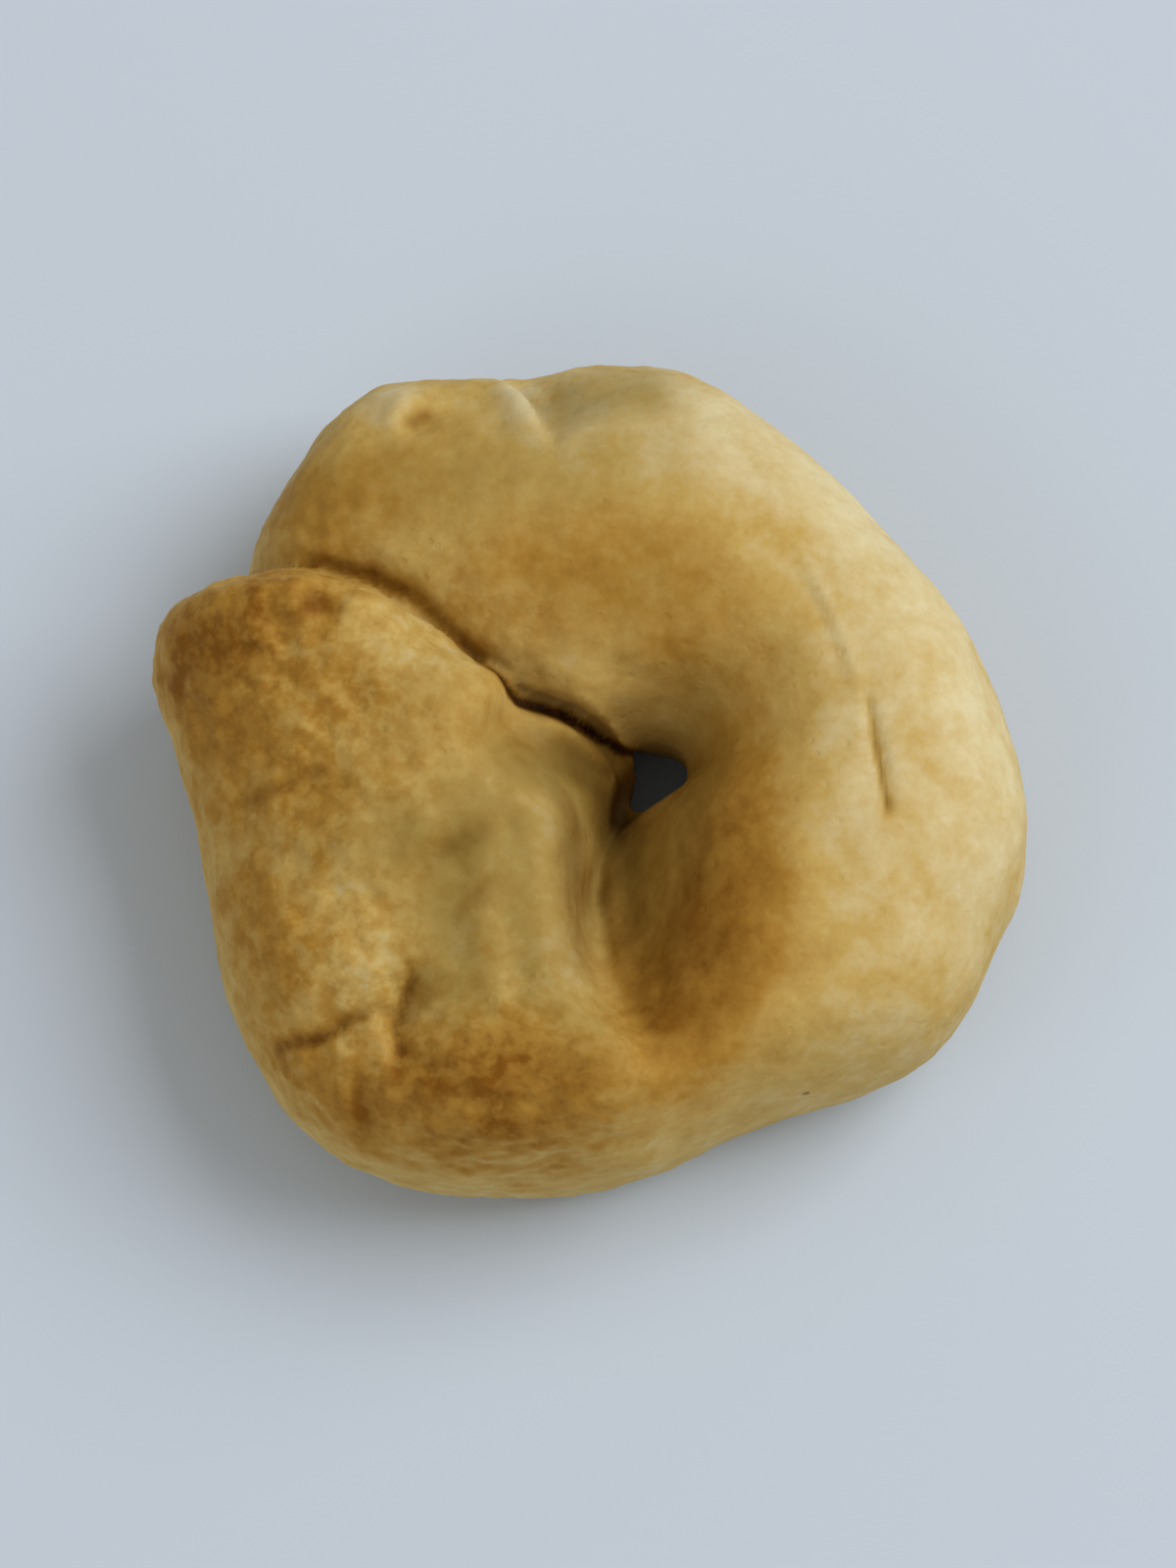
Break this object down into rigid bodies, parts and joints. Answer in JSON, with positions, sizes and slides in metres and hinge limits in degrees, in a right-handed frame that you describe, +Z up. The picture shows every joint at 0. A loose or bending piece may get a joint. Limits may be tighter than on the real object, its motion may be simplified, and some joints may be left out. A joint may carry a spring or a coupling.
{
  "type": "tarallo",
  "caption": "Hard baked ring biscuit of one thick dough rope, folded back on itself round a small hole, with its broad head pressed over its tail.",
  "frame": {"origin": "on the flat underside, under the middle of the biscuit's bounding box", "axes": "+Z up from the tray side, +Y away from the viewer towards the tail, +X to the right limb"},
  "size_m": [0.05, 0.0486, 0.0197],
  "materials": {
    "crust": "pale golden baked crust, matte, with browned patches"
  },
  "bodies": {
    "root": {"tarallo": "crust"}
  },
  "joints": []
}
